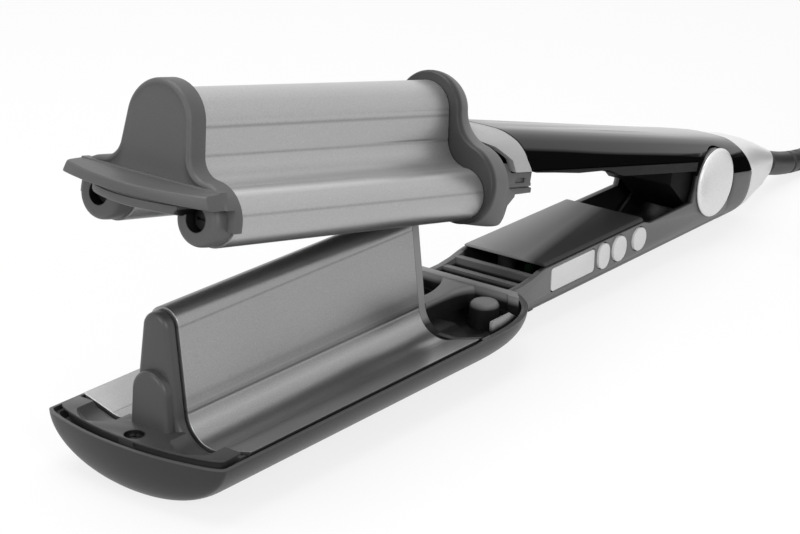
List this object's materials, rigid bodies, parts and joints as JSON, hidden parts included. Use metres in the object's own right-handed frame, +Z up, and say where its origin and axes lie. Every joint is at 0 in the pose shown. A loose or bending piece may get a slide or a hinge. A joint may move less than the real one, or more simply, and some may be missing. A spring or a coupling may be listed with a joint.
{
  "type": "hair waver",
  "caption": "Corded hair waver: two sprung arms, a ridged lower heating plate that closes into a two-barrel upper plate, side display and buttons, swivel lead at the tail.",
  "frame": {"origin": "middle of the footprint of the tool without its lead, on the surface that it stands on", "axes": "+X from the tip towards the tail, +Y towards the side without controls, +Z up"},
  "size_m": [0.4791, 0.112, 0.111],
  "materials": {
    "silver": "satin",
    "gunmetal": "satin, dark",
    "cap_grey": "matt",
    "dark_grey": "semi-gloss",
    "mid_grey": "matt",
    "gloss": "polished",
    "black": "matt",
    "pale_grey": "satin",
    "steel": "bright",
    "brass": "plain",
    "ceramic": "unglazed ceramic",
    "board": "lacquered circuit board",
    "cord": "matt"
  },
  "bodies": {
    "upper_arm": {"upper_wave_plate": "silver", "upper_front_cap": "cap_grey", "upper_rear_cap": "cap_grey", "barrel_heater_near": "ceramic", "barrel_heater_far": "ceramic", "barrel_screw_near": "steel", "barrel_screw_far": "steel", "hinge_bush_near": "brass", "hinge_bush_far": "brass", "upper_neck": "pale_grey", "neck_bracket": "dark_grey", "upper_handle_shell": "gloss", "upper_inner_cover": "black", "upper_cover_screw_1": "steel", "upper_cover_screw_2": "steel", "hinge_knuckle": "black", "tail_housing": "dark_grey", "tail_cap": "silver", "cord_lead": "cord", "cord_coil": "cord", "cord_end": "cord", "cord_tie": "black", "plug_body": "black", "plug_pin_1": "steel", "plug_pin_2": "steel"},
    "lower_arm": {"lower_head_shell": "dark_grey", "lower_wave_plate": "gunmetal", "lower_front_cap": "cap_grey", "lower_rear_cap": "black", "lower_heater": "ceramic", "heater_clamp": "steel", "thermistor": "ceramic", "thermal_fuse": "brass", "lower_front_screw": "steel", "lower_rear_screw": "steel", "lower_handle_shell": "dark_grey", "lower_inner_cover": "mid_grey", "lower_cover_screw_1": "steel", "lower_cover_screw_2": "steel", "display_window": "pale_grey", "control_board": "board", "hinge_pin": "steel", "hinge_disc_near": "silver", "hinge_disc_far": "silver", "opening_spring": "steel", "minus_switch": "black", "plus_switch": "black", "power_switch": "black"},
    "swivel": {"swivel_collar": "cord", "strain_relief": "cord"},
    "minus_key": {"minus_button": "pale_grey"},
    "plus_key": {"plus_button": "pale_grey"},
    "power_key": {"power_button": "pale_grey"}
  },
  "joints": [
    {"name": "arm_hinge", "type": "hinge", "parent": "upper_arm", "child": "lower_arm", "pos_m": [0.10738, 0, 0.0225], "axis": [0, 1, 0], "range_deg": [0, 11.9], "stiffness_Nm_per_rad": 1.5, "springref_deg": -40.11},
    {"name": "lead_swivel", "type": "hinge", "parent": "upper_arm", "child": "swivel", "pos_m": [0.17117, 0, 0.01141], "axis": [0.9516, 0, -0.3074], "continuous": true},
    {"name": "minus_press", "type": "slide", "parent": "lower_arm", "child": "minus_key", "axis": [0, 1, 0], "range_m": [0, 0.0006], "stiffness_N_per_m": 800},
    {"name": "plus_press", "type": "slide", "parent": "lower_arm", "child": "plus_key", "axis": [0, 1, 0], "range_m": [0, 0.0006], "stiffness_N_per_m": 800},
    {"name": "power_press", "type": "slide", "parent": "lower_arm", "child": "power_key", "axis": [0, 1, 0], "range_m": [0, 0.0006], "stiffness_N_per_m": 800}
  ]
}
